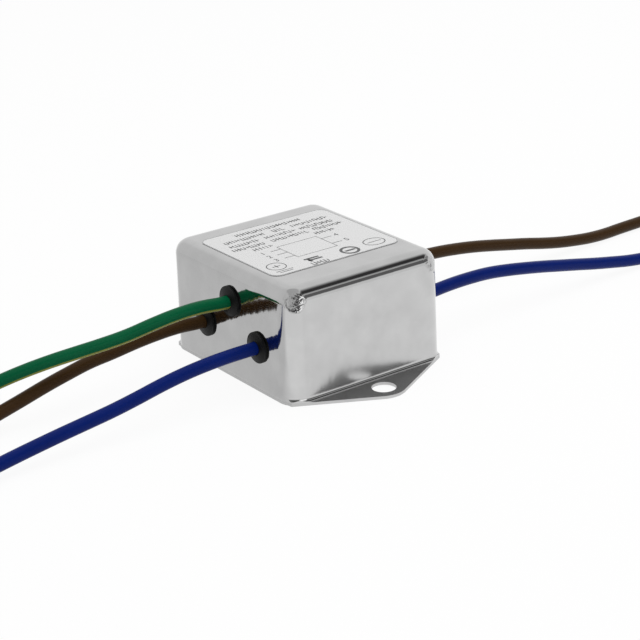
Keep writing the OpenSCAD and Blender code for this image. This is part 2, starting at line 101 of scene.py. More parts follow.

# %% [markdown]
# ## The leads' routes
#
# A flying lead is a fixed length of stranded wire in PVC. It is stiff enough to leave its
# grommet straight, then it droops, and at last it lies on the bench. Each route is a list of
# points given in millimetres, and the CAD part holds the same lists. A Bezier curve
# with automatic handles runs smoothly through all the points.

# %% Routes of the five leads, in millimetres
LEAD_D = 2.6 * MM
WIRE_D = 1.1 * MM
ROUTE_STEPS = 8  # straight steps from one point of a route to the next
ROUTES = {
    "earth": [
        [-15.2, -1.2, 15.9], [-20, -1.2, 15.9], [-25, -1.1, 16.3], [-30, -0.8, 16.1],
        [-35, -0.2, 15.3], [-40, 0.8, 14.1], [-45, 2, 13.2], [-50, 3.4, 12.4],
        [-55, 4.9, 11.5], [-60, 6.5, 10.3], [-65, 8.1, 8.8], [-70, 9.6, 7.2],
        [-75, 11, 5.6], [-80, 12.2, 4.1], [-85, 13.2, 2.9], [-90, 14, 2],
        [-95, 14.6, 1.5], [-100, 15, 1.4], [-105, 15.2, 1.4], [-110, 15.3, 1.4],
        [-115, 15.3, 1.4], [-119, 15.3, 1.4],
    ],
    "neutral_in": [
        [-15.2, -10.2, 9.2], [-20, -10.2, 9.2], [-25, -10.1, 9.1], [-30, -10, 8.8],
        [-35, -10, 8.3], [-40, -10, 7.5], [-45, -10, 6.5], [-50, -10, 5.6],
        [-55, -10, 4.9], [-60, -10.1, 4.3], [-65, -10.3, 3.7], [-70, -10.6, 3.1],
        [-75, -11, 2.5], [-80, -11.5, 2], [-85, -12, 1.6], [-90, -12.4, 1.4],
        [-95, -12.7, 1.4], [-100, -12.9, 1.4], [-105, -13, 1.4], [-110, -13, 1.4],
        [-115, -13, 1.4], [-121, -13, 1.4],
    ],
    "live_in": [
        [-15.2, 7.8, 9.2], [-20, 7.8, 9.2], [-25, 7.8, 9.5], [-30, 7.7, 9.4],
        [-35, 7.6, 9], [-40, 7.5, 8.4], [-45, 7.4, 7.9], [-50, 7.2, 7],
        [-55, 6.9, 6], [-60, 6.5, 4.9], [-65, 6, 3.9], [-70, 5.4, 3],
        [-75, 4.8, 2.2], [-80, 4.2, 1.7], [-85, 3.7, 1.4], [-90, 3.3, 1.4],
        [-95, 3, 1.4], [-100, 2.8, 1.4], [-105, 2.7, 1.4], [-110, 2.7, 1.4],
        [-115, 2.7, 1.4], [-120, 2.7, 1.4],
    ],
    "neutral_out": [
        [15.2, -10.2, 9.2], [20, -10.2, 9.2], [25, -9.9, 9.5], [30, -9.5, 9.6],
        [35, -9.2, 9.5], [40, -9, 9.2], [45, -9, 8.6], [50, -9, 7.8],
        [55, -9, 6.9], [60, -9, 5.9], [65, -9, 4.9], [70, -9.1, 3.9],
        [75, -9.2, 3], [80, -9.4, 2.2], [85, -9.6, 1.7], [90, -9.8, 1.4],
        [95, -9.9, 1.4], [100, -10, 1.4], [105, -10, 1.4], [110, -10, 1.4],
        [115, -10, 1.4], [120, -10, 1.4],
    ],
    "live_out": [
        [15.2, 7.8, 9.2], [20, 7.8, 9.2], [25, 7.8, 9.4], [30, 7.7, 9.5],
        [35, 7.6, 9.5], [40, 7.5, 9.3], [45, 7.5, 8.8], [50, 7.5, 8.1],
        [55, 7.5, 7.2], [60, 7.5, 6.2], [65, 7.5, 5.2], [70, 7.5, 4.1],
        [75, 7.6, 3.1], [80, 7.8, 2.3], [85, 8, 1.7], [90, 8.3, 1.4],
        [95, 8.6, 1.4], [100, 8.8, 1.4], [105, 9, 1.4], [110, 9, 1.4],
        [115, 9, 1.4], [120, 9, 1.4],
    ],
}


def route_curve(name, points):
    """A smooth Bezier curve through a route's points, with no thickness of its own."""
    curve = bpy.data.curves.new(name, "CURVE")
    curve.dimensions = "3D"
    spline = curve.splines.new("BEZIER")
    spline.resolution_u = ROUTE_STEPS
    spline.bezier_points.add(len(points) - 1)
    for knot, point in zip(spline.bezier_points, points):
        knot.co = Vector(point) * MM
        knot.handle_left_type = knot.handle_right_type = "AUTO"
    return curve


for lead, points in ROUTES.items():
    reach = sum((Vector(b) - Vector(a)).length for a, b in zip(points, points[1:]))
    print("route", lead, "is", round(reach, 1), "mm long with", len(points), "points")

# %% [markdown]
# ## Helpers for node trees
#
# Every material and every Geometry Nodes tree below is a graph. One function adds a node,
# sets its properties, and either fills or links its inputs. Another turns the usual hex
# colour, which is sRGB, into the linear numbers that a renderer calculates with.

# %% Helpers for node trees


def add(tree, kind, inputs=None, **settings):
    """Adds one node. An input takes a value, another node's output, or a node for its first."""
    node = tree.nodes.new(kind)
    for name, value in settings.items():
        setattr(node, name, value)
    for name, value in (inputs or {}).items():
        if isinstance(value, bpy.types.Node):
            value = value.outputs[0]
        if isinstance(value, bpy.types.NodeSocket):
            tree.links.new(value, node.inputs[name])
        else:
            node.inputs[name].default_value = value
    return node


def colour(hex_code):
    """Linear RGBA from an sRGB hex code such as #c8c8c8."""
    parts = [int(hex_code[i : i + 2], 16) / 255 for i in (1, 3, 5)]
    return [p / 12.92 if p <= 0.04045 else ((p + 0.055) / 1.055) ** 2.4 for p in parts] + [1]


print("#808080 in linear light:", round(colour("#808080")[0], 3))

# %% [markdown]
# ## Helpers for Geometry Nodes
#
# A tree starts with named inputs for its sizes. It ends by making its instances real and
# giving them their material. It is then run on an object and the result is kept as a plain
# mesh, so that no modifier is left in the finished scene.

# %% Helpers for Geometry Nodes


def new_tree(name, sockets):
    """An empty Geometry Nodes tree with named inputs: {name: (kind, value)}."""
    tree = bpy.data.node_groups.new(name, "GeometryNodeTree")
    tree.interface.new_socket("Geometry", in_out="INPUT", socket_type="NodeSocketGeometry")
    tree.interface.new_socket("Geometry", in_out="OUTPUT", socket_type="NodeSocketGeometry")
    for label, (kind, value) in sockets.items():
        socket = tree.interface.new_socket(label, in_out="INPUT", socket_type="NodeSocket" + kind)
        if value is not None:
            socket.default_value = value
    print(name, "takes", list(sockets))
    return tree, tree.nodes.new("NodeGroupInput").outputs


def end_tree(tree, geometry, material):
    """Makes the geometry real, gives it its material and sends it out."""
    real = add(tree, "GeometryNodeRealizeInstances", {"Geometry": geometry})
    painted = add(tree, "GeometryNodeSetMaterial", {"Geometry": real, "Material": material})
    add(tree, "NodeGroupOutput", {"Geometry": painted})
    print(tree.name, "has", len(tree.nodes), "nodes")


def grown(name, source, tree, values):
    """Runs a Geometry Nodes tree on an object and keeps the result as a plain mesh."""
    host = new_object(name + "_source", source)
    modifier = host.modifiers.new("nodes", "NODES")
    modifier.node_group = tree
    for item in tree.interface.items_tree:
        if item.in_out == "INPUT" and item.name in values:
            modifier[item.identifier] = values[item.name]
    graph = bpy.context.evaluated_depsgraph_get()
    mesh = bpy.data.meshes.new_from_object(
        host.evaluated_get(graph), preserve_all_data_layers=True, depsgraph=graph
    )
    bpy.data.objects.remove(host)
    mesh.name = name
    print(name, len(mesh.vertices), "points")
    return new_object(name, mesh)


# %% [markdown]
# ## Sweeping a round section along a route
#
# Wire insulation is extruded: plastic is pressed through a round die round the strands, so
# its section is the same all along. Curve to Mesh in Geometry Nodes does the same. Two
# numbers are stored on every point while they are still known, because a finish needs them
# later: how far along the lead it is, and in which direction round the lead it faces. A
# direction has no seam, which an angle that jumps from 360 to 0 degrees would have.

# %% Tree that sweeps a lead: the route
tree, given = new_tree(
    "swept_lead",
    {
        "Diameter": ("Float", LEAD_D),
        "Ring spacing": ("Float", 1 * MM),
        "Sides": ("Int", 28),
        "Material": ("Material", None),
    },
)
even = add(
    tree,
    "GeometryNodeResampleCurve",
    {"Curve": given["Geometry"], "Length": given["Ring spacing"]},
    mode="LENGTH",
)
upright = add(tree, "GeometryNodeSetCurveNormal", {"Curve": even}, mode="Z_UP")
parameter = add(tree, "GeometryNodeSplineParameter")
along = add(tree, "GeometryNodeCaptureAttribute", {"Geometry": upright})
along.capture_items.new("FLOAT", "along")
tree.links.new(parameter.outputs["Length"], along.inputs["along"])

# %% Tree that sweeps a lead: the section and the skin
radius = add(tree, "ShaderNodeMath", {0: given["Diameter"], 1: 2}, operation="DIVIDE")
circle = add(
    tree, "GeometryNodeCurvePrimitiveCircle", {"Resolution": given["Sides"], "Radius": radius}
)
place = add(tree, "GeometryNodeInputPosition")
facing = add(tree, "ShaderNodeVectorMath", {0: place}, operation="NORMALIZE")
around = add(tree, "GeometryNodeCaptureAttribute", {"Geometry": circle})
around.capture_items.new("VECTOR", "around")
tree.links.new(facing.outputs[0], around.inputs["around"])
skin = add(
    tree, "GeometryNodeCurveToMesh", {"Curve": along, "Profile Curve": around, "Fill Caps": True}
)
for name, node, kind in (("along", along, "FLOAT"), ("around", around, "FLOAT_VECTOR")):
    skin = add(
        tree,
        "GeometryNodeStoreNamedAttribute",
        {"Geometry": skin, "Name": name, "Value": node.outputs[name]},
        data_type=kind,
    )
end_tree(tree, skin, given["Material"])
SWEPT_LEAD = tree

# %% [markdown]
# ## PVC insulation
#
# Hook-up wire is insulated with plasticised PVC, IOR about 1.53. Extruding leaves it smooth,
# with faint lines along its length, and the twist of the strands below shows through as a
# slight ripple. Plasticiser that comes to the skin takes off most of its gloss, so the eye
# sees a deep colour with a soft, weak sheen. The colour is in the plastic, so it is even, a
# little uneven in depth. An earth wire has a yellow stripe, which the extruder lays into the
# green along one side.

# %% Materials with an uneven tone


def new_material(name, settings):
    """A material, its tree, its shader's inputs with some settings, and Object coordinates."""
    material = bpy.data.materials.new(name)
    material.use_nodes = True
    tree = material.node_tree
    shader = tree.nodes["Principled BSDF"].inputs
    for socket, value in settings.items():
        shader[socket].default_value = value
    place = add(tree, "ShaderNodeTexCoord").outputs["Object"]
    return material, tree, shader, place


def uneven(tree, place, base, size, deepest):
    """A colour that drifts to a deeper shade of itself, in patches of about one size."""
    cloud = add(tree, "ShaderNodeTexNoise", {"Vector": place, "Scale": 1 / size, "Detail": 3})
    deep = [c * deepest for c in colour(base)[:3]] + [1]
    return add(
        tree, "ShaderNodeMix", {0: cloud, 6: deep, 7: colour(base)}, data_type="RGBA"
    ).outputs[2]


STRIPE_SIDE = (0.0, 1.0, 0.0)  # the stripe's direction round the lead
STRIPE_HALF_WIDTH = 66  # degrees round the lead
STRIPE_EDGE = 0.02  # how soft its edge is, as a cosine


def striped(tree, around, tone, stripe):
    """Lays a second colour over a tone, all along one side of a lead."""
    towards = add(
        tree, "ShaderNodeVectorMath", {0: around, 1: STRIPE_SIDE}, operation="DOT_PRODUCT"
    ).outputs["Value"]
    edge = math.cos(math.radians(STRIPE_HALF_WIDTH))
    inside = add(
        tree,
        "ShaderNodeMapRange",
        {"Value": towards, "From Min": edge - STRIPE_EDGE, "From Max": edge + STRIPE_EDGE},
    )
    return add(
        tree, "ShaderNodeMix", {0: inside, 6: tone, 7: colour(stripe)}, data_type="RGBA"
    ).outputs[2]


print("the stripe covers", 2 * STRIPE_HALF_WIDTH, "of 360 degrees round the lead")

# %% PVC insulation
PVC_IOR = 1.53
PVC_ROUGHNESS = 0.3
PVC_SHINE = 0.07  # plasticiser on the skin dulls the mirror part; 0.5 is a clean surface
PVC_CLOUD = 6 * MM  # patches of deeper colour
PVC_DEEPEST = 0.8
STRAND_LAY = 14 * MM  # one turn of the strands below the insulation
STRAND_RIPPLE = 0.25  # the ripple's height, where the extruder's lines have 1
DIE_LINES = 9  # the extruder's lines on one radius, far fewer than real ones, so that they show
RELIEF_DEPTH = 0.05 * MM
RELIEF_STRENGTH = 0.25
BLUE, BROWN, GREEN, YELLOW = "#07206c", "#402d19", "#045e3a", "#86893c"


def pvc(name, base, stripe=None):
    """Extruded PVC, with a stripe in a second colour if one is given."""
    material, tree, shader, place = new_material(
        name, {"IOR": PVC_IOR, "Roughness": PVC_ROUGHNESS, "Specular IOR Level": PVC_SHINE}
    )
    around = add(tree, "ShaderNodeAttribute", attribute_name="around").outputs["Vector"]
    along = add(tree, "ShaderNodeAttribute", attribute_name="along").outputs["Fac"]
    tone = uneven(tree, place, base, PVC_CLOUD, PVC_DEEPEST)
    if stripe:
        tone = striped(tree, around, tone, stripe)
    tree.links.new(tone, shader["Base Color"])
    turn = add(
        tree, "ShaderNodeMath", {0: along, 1: 2 * math.pi / STRAND_LAY}, operation="MULTIPLY"
    )
    ripple = add(tree, "ShaderNodeMath", {0: turn}, operation="SINE")
    lines = add(tree, "ShaderNodeTexNoise", {"Vector": around, "Scale": DIE_LINES, "Detail": 2})
    relief = add(
        tree, "ShaderNodeMath", {0: ripple, 1: STRAND_RIPPLE, 2: lines}, operation="MULTIPLY_ADD"
    )
    bump = add(
        tree,
        "ShaderNodeBump",
        {"Height": relief, "Strength": RELIEF_STRENGTH, "Distance": RELIEF_DEPTH},
    )
    tree.links.new(bump.outputs[0], shader["Normal"])
    return material


PVC = {  # the material slot of each lead, and its finish
    "earth": ("pvc_green", pvc("extruded_pvc_green_yellow", GREEN, YELLOW)),
    "neutral_in": ("pvc_blue", pvc("extruded_pvc_blue", BLUE)),
    "live_in": ("pvc_brown", pvc("extruded_pvc_brown", BROWN)),
}
PVC["neutral_out"] = PVC["neutral_in"]
PVC["live_out"] = PVC["live_in"]
print("insulation finishes:", sorted({m.name for _, m in PVC.values()}))

# %% [markdown]
# ## The five leads
#
# Each lead is swept along its own route. The skin is shaded smooth, and only the edges of
# the cut ends stay sharp.

# %% Sweep the leads
LEAD_SHARP = math.radians(40)  # edges that turn by more than this stay sharp


def smooth_centreline(curve):
    """The points of a curve without thickness, for measuring."""
    probe = bpy.data.objects.new("probe", curve)
    mesh = bpy.data.meshes.new_from_object(probe)
    line = [v.co.copy() for v in mesh.vertices]
    bpy.data.objects.remove(probe)
    bpy.data.meshes.remove(mesh)
    return line


LEADS = {}
CENTRELINES = {}
for lead, points in ROUTES.items():
    curve = route_curve("route_" + lead, points)
    CENTRELINES[lead] = smooth_centreline(curve)
    piece = grown(
        "insulation_" + lead, curve, SWEPT_LEAD, {"Diameter": LEAD_D, "Material": PVC[lead][1]}
    )
    piece.data.shade_smooth()
    piece.data.set_sharp_from_angle(angle=LEAD_SHARP)
    LEADS[lead] = piece
print("leads:", sorted(LEADS))

# %% [markdown]
# ## Stranded, tinned wire ends
#
# Under the insulation are seven strands, one in the middle and six laid round it in a long
# helix, and the bared end is dipped in solder. Curve Spiral makes one helix, Duplicate
# Elements repeats it, and each copy is turned by its own index.

# %% Tree for stranded ends: the ring of helices
STRANDS_ROUND = 6
STRAND_D = WIRE_D / 3
END_TWIST = 0.6  # turns of the strands in the bared length
HELIX_STEPS = 40
STRAND_SIDES = 10

tree, given = new_tree(
    "stranded_end",
    {
        "Strand diameter": ("Float", STRAND_D),
        "Strands round": ("Int", STRANDS_ROUND),
        "Length": ("Float", 6 * MM),
        "Twist": ("Float", END_TWIST),
        "Place": ("Vector", None),
        "Turn": ("Vector", None),
        "Material": ("Material", None),
    },
)
helix = add(
    tree,
    "GeometryNodeCurveSpiral",
    {
        "Resolution": HELIX_STEPS,
        "Rotations": given["Twist"],
        "Start Radius": given["Strand diameter"],
        "End Radius": given["Strand diameter"],
        "Height": given["Length"],
    },
)
copies = add(
    tree,
    "GeometryNodeDuplicateElements",
    {"Geometry": helix, "Amount": given["Strands round"]},
    domain="SPLINE",
)
share = add(tree, "ShaderNodeMath", {0: 2 * math.pi, 1: given["Strands round"]}, operation="DIVIDE")
angle = add(
    tree, "ShaderNodeMath", {0: copies.outputs["Duplicate Index"], 1: share}, operation="MULTIPLY"
)
place = add(tree, "GeometryNodeInputPosition")
turned = add(
    tree, "ShaderNodeVectorRotate", {"Vector": place, "Angle": angle}, rotation_type="Z_AXIS"
)
ring = add(tree, "GeometryNodeSetPosition", {"Geometry": copies, "Position": turned})

# %% Tree for stranded ends: the middle strand and the wires
top = add(tree, "ShaderNodeCombineXYZ", {"Z": given["Length"]})
middle = add(tree, "GeometryNodeCurvePrimitiveLine", {"End": top})
strands = add(tree, "GeometryNodeJoinGeometry")
tree.links.new(ring.outputs[0], strands.inputs[0])
tree.links.new(middle.outputs[0], strands.inputs[0])
thin = add(tree, "ShaderNodeMath", {0: given["Strand diameter"], 1: 2}, operation="DIVIDE")
section = add(
    tree, "GeometryNodeCurvePrimitiveCircle", {"Resolution": STRAND_SIDES, "Radius": thin}
)
wires = add(
    tree, "GeometryNodeCurveToMesh", {"Curve": strands, "Profile Curve": section, "Fill Caps": True}
)
placed = add(
    tree,
    "GeometryNodeTransform",
    {"Geometry": wires, "Translation": given["Place"], "Rotation": given["Turn"]},
)
end_tree(tree, placed, given["Material"])
STRANDED_END = tree

# %% [markdown]
# ## Bright metals
#
# The can is deep-drawn steel with a bright tin plate, so its faces mirror the room. Rolling and
# drawing leave two kinds of unevenness: a wave a few millimetres long, a few hundredths of a
# millimetre deep, that bends reflections, and a fine grain that blurs them. Real grain is far
# finer, and is drawn this coarse so that it shows. The plate is duller in patches. A metal
# keeps Blender's default IOR, because its base colour already gives its reflectance.
#
# ## Knuckles
#
# Where two walls and the top meet, drawing bunches the steel into a small bulge. It is too
# slight to model, so only the shading normal is bent: to the eye it is a bright facet with a
# pebbled skin in each top corner.

# %% Direction in which a knuckle faces
KNUCKLE_PLACE = (16.2 * MM, 20.4 * MM, 20.6 * MM)  # mirrored into all four corners
KNUCKLE_RADIUS = 2 * MM
KNUCKLE_EDGE = 0.5 * MM  # half the width of the roll at its rim
KNUCKLE_TILT = (math.radians(40), math.radians(66))  # from upright, short side to ear side
KNUCKLE_TURN = (math.radians(35), math.radians(75))  # round the corner, likewise


def knuckle_facet(tree, offset):
    """The way a knuckle faces at a place given from its middle, in the corner without signs."""
    parts = add(tree, "ShaderNodeSeparateXYZ", {"Vector": offset}).outputs
    round_it = add(tree, "ShaderNodeMath", {0: parts["Y"], 1: parts["X"]}, operation="SUBTRACT")
    wave = {}
    for name, (first, last) in (("tilt", KNUCKLE_TILT), ("turn", KNUCKLE_TURN)):
        angle = add(
            tree,
            "ShaderNodeMapRange",
            {
                "Value": round_it,
                "From Min": -KNUCKLE_RADIUS,
                "From Max": KNUCKLE_RADIUS,
                "To Min": first,
                "To Max": last,
            },
        )
        for part in ("SINE", "COSINE"):
            wave[name, part] = add(tree, "ShaderNodeMath", {0: angle}, operation=part)
    leaning = wave["tilt", "SINE"]
    out_x, out_y = (
        add(tree, "ShaderNodeMath", {0: leaning, 1: wave["turn", part]}, operation="MULTIPLY")
        for part in ("COSINE", "SINE")
    )
    return add(tree, "ShaderNodeCombineXYZ", {"X": out_x, "Y": out_y, "Z": wave["tilt", "COSINE"]})


print("a knuckle is", round(2 * KNUCKLE_RADIUS / MM, 1), "mm across")

# %% Knuckles at the can's top corners
KNUCKLE_PEBBLE = 0.14 * MM  # depth of its pebbled skin
PEBBLE_SIZE = 0.6 * MM


def knuckled(tree, place, folded, normal):
    """Bends the normal at a knuckle; a position without its signs makes it serve four corners."""
    offset = add(tree, "ShaderNodeVectorMath", {0: folded, 1: KNUCKLE_PLACE}, operation="SUBTRACT")
    away = add(tree, "ShaderNodeVectorMath", {0: offset}, operation="LENGTH")
    inside = add(
        tree,
        "ShaderNodeMapRange",
        {
            "Value": away.outputs["Value"],
            "From Min": KNUCKLE_RADIUS + KNUCKLE_EDGE,
            "From Max": KNUCKLE_RADIUS - KNUCKLE_EDGE,
        },
    )
    facet = knuckle_facet(tree, offset)
    signs = add(tree, "ShaderNodeVectorMath", {0: place}, operation="SIGN")
    facing = add(tree, "ShaderNodeVectorMath", {0: facet, 1: signs}, operation="MULTIPLY")
    bent = add(
        tree, "ShaderNodeMix", {0: inside, 4: normal, 5: facing}, data_type="VECTOR"
    ).outputs[1]
    unit = add(tree, "ShaderNodeVectorMath", {0: bent}, operation="NORMALIZE")
    pebbles = add(tree, "ShaderNodeTexNoise", {"Vector": place, "Scale": 1 / PEBBLE_SIZE})
    relief = add(tree, "ShaderNodeMath", {0: pebbles, 1: inside}, operation="MULTIPLY")
    return add(
        tree, "ShaderNodeBump", {"Height": relief, "Distance": KNUCKLE_PEBBLE, "Normal": unit}
    ).outputs[0]


print("knuckles stand at, in mm:", [round(v / MM, 1) for v in KNUCKLE_PLACE], "and mirrored")

# %% [markdown]
# ## Marks of the press
#
# The punch drags the steel upwards through its die, which leaves faint upright marks on the
# walls. The two walls above the ears are scuffed, and the ears and the narrow lip round the
# corners, which the press clamps, are dull. Each is a mask from where the metal is or which
# way it faces.

# %% Scuffed walls, dull ears and upright marks
SIDE_WALLS = (0.97, 0.99)  # how squarely a face looks along Y before it counts as such a wall
SIDE_WALL_ROUGHNESS = 0.25  # the walls above the ears, scuffed by the press
EARS_FROM = 21.4 * MM  # distance of the ears' bend from the middle
EARS_EDGE = 0.3 * MM  # how far the change to a dull ear takes
LIP_TOP = 0.62 * MM  # just over the ears' sheet and the narrow lip round the corners
LIP_EDGE = 0.1 * MM
EAR_ROUGHNESS = 0.4
DRAW_MARKS = (1 / (1.4 * MM), 1 / (1.4 * MM), 1 / (5 * MM))  # narrow across, long upwards
MARKED_UNTIL = (0.1, 0.5)  # how far a face may lean upwards before its marks fade, and end


def pressed_roughness(tree, sides, folded, roughness):
    """Roughens the side walls, the ears and the lip of a drawn can."""
    for source, part, low, high, rough in (
        (sides, "Y", *SIDE_WALLS, SIDE_WALL_ROUGHNESS),
        (folded, "Y", EARS_FROM, EARS_FROM + EARS_EDGE, EAR_ROUGHNESS),
        (folded, "Z", LIP_TOP + LIP_EDGE, LIP_TOP, EAR_ROUGHNESS),
    ):
        value = add(tree, "ShaderNodeSeparateXYZ", {"Vector": source}).outputs[part]
        here = add(tree, "ShaderNodeMapRange", {"Value": value, "From Min": low, "From Max": high})
        roughness = add(
            tree, "ShaderNodeMix", {"Factor": here, 2: roughness, 3: rough}, data_type="FLOAT"
        ).outputs[0]
    return roughness


def draw_marked(tree, place, facing, depth, normal):
    """Adds the punch's upright marks to a normal, on walls only."""
    stretched = add(
        tree, "ShaderNodeMapping", {"Vector": place, "Scale": DRAW_MARKS}, vector_type="POINT"
    )
    marks = add(tree, "ShaderNodeTexNoise", {"Vector": stretched, "Scale": 1, "Detail": 1})
    upward = add(tree, "ShaderNodeSeparateXYZ", {"Vector": facing}).outputs["Z"]
    fade, end = MARKED_UNTIL
    wall = add(
        tree,
        "ShaderNodeMapRange",
        {"Value": upward, "From Min": fade, "From Max": end, "To Min": 1, "To Max": 0},
    )
    height = add(tree, "ShaderNodeMath", {0: marks, 1: wall}, operation="MULTIPLY")
    return add(
        tree, "ShaderNodeBump", {"Height": height, "Distance": depth, "Normal": normal}
    ).outputs[0]


print("upright marks, across and along in mm:", [round(1 / v / MM, 1) for v in DRAW_MARKS[1:]])

# %% Plated metals
CLOUD_SIZE = 5 * MM  # patches of duller and brighter plate
CLOUD_DULLEST = 0.9
CLOUD_RANGE = (0.3, 0.7)  # the stretch of the noise in which the plate changes
BLUR_SPREAD = (0.8, 1.2)  # the roughness in the patches, as shares of its usual value


def plated(name, base, roughness, wave, grain, drawn=0.0):
    """A metal whose wave and grain are (size, depth) pairs in metres.

    A drawn can also has upright marks on its walls, as deep as drawn says.
    """
    material, tree, shader, place = new_material(name, {"Metallic": 1})
    cloud = add(tree, "ShaderNodeTexNoise", {"Vector": place, "Scale": 1 / CLOUD_SIZE, "Detail": 4})
    dull = [c * CLOUD_DULLEST for c in colour(base)[:3]] + [1]
    low, high = CLOUD_RANGE
    change = {"Value": cloud, "From Min": low, "From Max": high}
    patchy = add(tree, "ShaderNodeMapRange", change)
    tone = add(tree, "ShaderNodeMix", {0: patchy, 6: dull, 7: colour(base)}, data_type="RGBA")
    tree.links.new(tone.outputs[2], shader["Base Color"])
    sharper, softer = (roughness * share for share in BLUR_SPREAD)
    blur = add(tree, "ShaderNodeMapRange", {**change, "To Min": sharper, "To Max": softer})
    roughness_now = blur.outputs[0]
    facing = add(tree, "ShaderNodeNewGeometry").outputs["Normal"]
    sides = add(tree, "ShaderNodeVectorMath", {0: facing}, operation="ABSOLUTE")
    folded = add(tree, "ShaderNodeVectorMath", {0: place}, operation="ABSOLUTE")
    if drawn:
        roughness_now = pressed_roughness(tree, sides, folded, roughness_now)
    tree.links.new(roughness_now, shader["Roughness"])
    normal = None
    for size, depth in (wave, grain):
        noise = add(tree, "ShaderNodeTexNoise", {"Vector": place, "Scale": 1 / size, "Detail": 2})
        bump = add(tree, "ShaderNodeBump", {"Height": noise, "Distance": depth})
        if normal:
            tree.links.new(normal, bump.inputs["Normal"])
        normal = bump.outputs[0]
    if drawn:
        normal = draw_marked(tree, place, facing, drawn, normal)
        normal = knuckled(tree, place, folded, normal)
    tree.links.new(normal, shader["Normal"])
    return material


CAN_METAL = plated(  # nearly a mirror: crisp reflections that bend a little
    "bright_tin_plate", "#bdbdbd", 0.08, (6 * MM, 0.02 * MM), (0.3 * MM, 0.0005 * MM), 0.04 * MM
)
COVER_METAL = plated(  # soft grey reflections without edges
    "dull_tin_plate", "#b4b4b4", 0.3, (2 * MM, 0.02 * MM), (0.2 * MM, 0.002 * MM)
)
SOLDER = plated(  # slightly warm, with broad soft glints where solder ran
    "solder_dipped_copper", "#c0bfba", 0.25, (0.8 * MM, 0.02 * MM), (0.1 * MM, 0.002 * MM)
)
print("metals:", CAN_METAL.name, COVER_METAL.name, SOLDER.name)

# %% [markdown]
# ## Bared ends, and the leads in place of the CAD tubes
#
# Each lead replaces its plain CAD tube. Here that is nothing: flying leads are sold with
# bare, tinned ends for the buyer to connect.

# %% Bared ends, and the leads put in place of the CAD tubes
STRAND_SHARP = math.radians(50)
EMPTY = bpy.data.meshes.new("nothing")
for lead, insulation in LEADS.items():
    line = CENTRELINES[lead]
    side = math.copysign(1, line[0].x)
    low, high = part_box("tip_" + lead)
    bare = grown(
        "strands_" + lead,
        EMPTY.copy(),
        STRANDED_END,
        {
            "Length": high.x - low.x,
            "Place": (line[-1].x, line[-1].y, line[-1].z),
            "Turn": (0, side * math.pi / 2, 0),
            "Material": SOLDER,
        },
    )
    bare.data.shade_smooth()
    bare.data.set_sharp_from_angle(angle=STRAND_SHARP)
    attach(bare, "root")
    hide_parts("tip_" + lead)
    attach(insulation, "root")
    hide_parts("lead_" + lead)

# %% [markdown]
# ## Rubber, film and ink
#
# The grommets are moulded black rubber: a deep black with a weak, broad sheen on a fine skin.
# The label is a satin polyester film, even and almost white, and a grey line is painted just
# inside its edge as a painted shade along its cut edge. The ink is a dark grey, a little duller
# than the film.

# %% Rubber, label film and ink
TONE_SIZE = 4 * MM  # patches of slightly deeper colour


def moulded(name, base, roughness, grain_size, grain_depth, ior=1.5, spread=0.9, shine=0.5):
    """A coloured solid with a slightly uneven tone and a fine grain."""
    material, tree, shader, place = new_material(
        name, {"Roughness": roughness, "IOR": ior, "Specular IOR Level": shine}
    )
    tree.links.new(uneven(tree, place, base, TONE_SIZE, spread), shader["Base Color"])
    noise = add(tree, "ShaderNodeTexNoise", {"Vector": place, "Scale": 1 / grain_size, "Detail": 2})
    bump = add(tree, "ShaderNodeBump", {"Height": noise, "Distance": grain_depth})
    tree.links.new(bump.outputs[0], shader["Normal"])
    return material


RUBBER = moulded("moulded_black_rubber", "#121212", 0.45, 0.3 * MM, 0.01 * MM, 1.52, shine=0.12)
FILM = moulded("satin_polyester_film", "#dadada", 0.38, 0.5 * MM, 0.002 * MM, 1.57, 0.98)
INK = moulded("thermal_print_ink", "#4a4b4c", 0.45, 0.2 * MM, 0.001 * MM, 1.5)
# painted shade: a grey that stands for the shade along the film's cut edge
EDGE_SHADE_INK = moulded("painted_edge_shade", "#a2a3a4", 0.5, 0.2 * MM, 0.001 * MM, 1.5)
print("outer solids:", [material.name for material in (RUBBER, FILM, INK, EDGE_SHADE_INK)])

# %% [markdown]
# ## Inside the can
#
# The can hides its circuit, so these finishes are the usual ones: grey-white fibre paper and
# green powder coat look matt, brown laminate and yellow box have a weak sheen, and enamelled
# copper, dipped epoxy and lacquer are glossy. The cover and the earth strap are dull tin
# plate, and all that is soldered has the solder's finish.

# %% Finishes inside the can
INNER = {
    "insulating_sheet": moulded("pressed_fibre_paper", "#c6c2b4", 0.8, 0.15 * MM, 0.01 * MM),
    "circuit_board": moulded("phenolic_paper_laminate", "#b08a58", 0.5, 0.4 * MM, 0.01 * MM),
    "choke_core": moulded("powder_coated_ferrite", "#2f4f36", 0.55, 0.25 * MM, 0.02 * MM),
    "choke_divider": moulded("moulded_nylon", "#dcd7c4", 0.5, 0.6 * MM, 0.01 * MM),
    "choke_winding_live": moulded("enamelled_copper", "#a8552a", 0.25, 0.5 * MM, 0.004 * MM),
    "x_capacitor": moulded("moulded_capacitor_box", "#d8a426", 0.42, 0.3 * MM, 0.01 * MM),
    "y_capacitor_live": moulded("dipped_epoxy", "#24499a", 0.3, 1.2 * MM, 0.05 * MM),
    "bleed_resistor": moulded("baked_lacquer", "#cdb083", 0.35, 0.5 * MM, 0.01 * MM),
}
INNER["choke_winding_neutral"] = INNER["choke_winding_live"]
INNER["y_capacitor_neutral"] = INNER["y_capacitor_live"]


def finish(node, material):
    """Gives a CAD node its material; its mesh stays as it is."""
    mesh = NODES[node].data
    mesh.materials.clear()
    mesh.materials.append(material)


